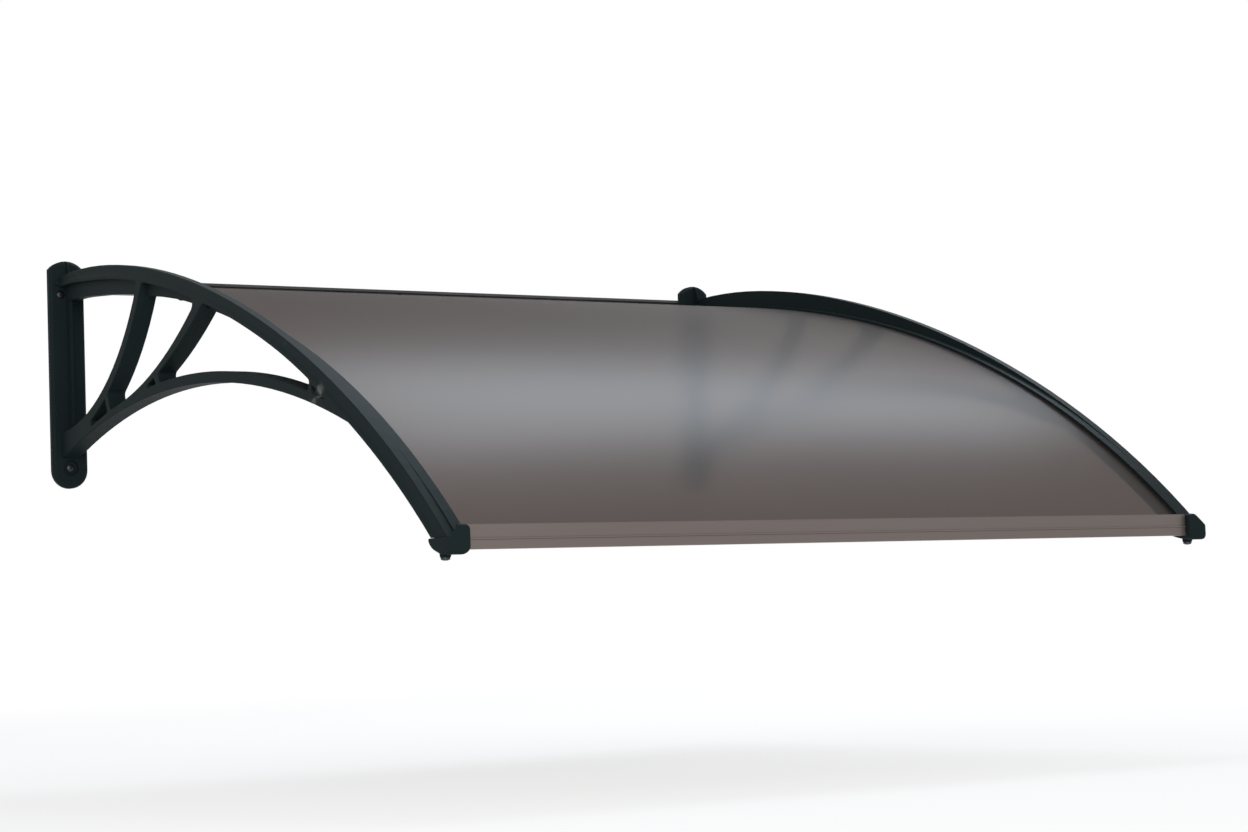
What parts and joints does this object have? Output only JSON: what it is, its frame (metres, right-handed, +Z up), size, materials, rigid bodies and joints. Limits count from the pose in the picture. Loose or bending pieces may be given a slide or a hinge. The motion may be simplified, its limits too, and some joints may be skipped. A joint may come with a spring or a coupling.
{
  "type": "door canopy",
  "caption": "Door canopy: a curved bronze polycarbonate sheet carried by two dark moulded lattice brackets, with a wall rail and a front profile.",
  "frame": {"origin": "middle of the wall rail's back face, in the wall plane, midway between the two wall plates", "axes": "+Y into the wall, +Z up, X along the wall; the canopy reaches out from the wall along -Y"},
  "size_m": [1.001, 1.0105, 0.4177],
  "materials": {
    "dark_moulding": "satin moulded plastic, very dark grey green",
    "bronze_sheet": "glossy bronze tinted polycarbonate",
    "aluminium_profile": "satin extruded, bronze anodised",
    "black_rubber": "matt",
    "screw_steel": "black zinc plated"
  },
  "bodies": {
    "root": {"bracket_left": "dark_moulding", "bracket_right": "dark_moulding", "clamp_strip_left": "dark_moulding", "clamp_strip_right": "dark_moulding", "nose_cap_left": "dark_moulding", "nose_cap_right": "dark_moulding", "sheet": "bronze_sheet", "front_profile": "aluminium_profile", "wall_rail": "aluminium_profile", "rail_seal": "black_rubber", "gasket_left": "black_rubber", "gasket_right": "black_rubber", "nose_screw_left": "screw_steel", "nose_screw_right": "screw_steel", "wall_screw_left_low": "screw_steel", "wall_screw_left_high": "screw_steel", "wall_screw_right_low": "screw_steel", "wall_screw_right_high": "screw_steel", "rail_screw_1": "screw_steel", "rail_screw_2": "screw_steel", "rail_screw_3": "screw_steel", "clamp_screw_left_1": "screw_steel", "clamp_screw_left_2": "screw_steel", "clamp_screw_left_3": "screw_steel", "clamp_screw_left_4": "screw_steel", "clamp_screw_right_1": "screw_steel", "clamp_screw_right_2": "screw_steel", "clamp_screw_right_3": "screw_steel", "clamp_screw_right_4": "screw_steel"}
  },
  "joints": []
}
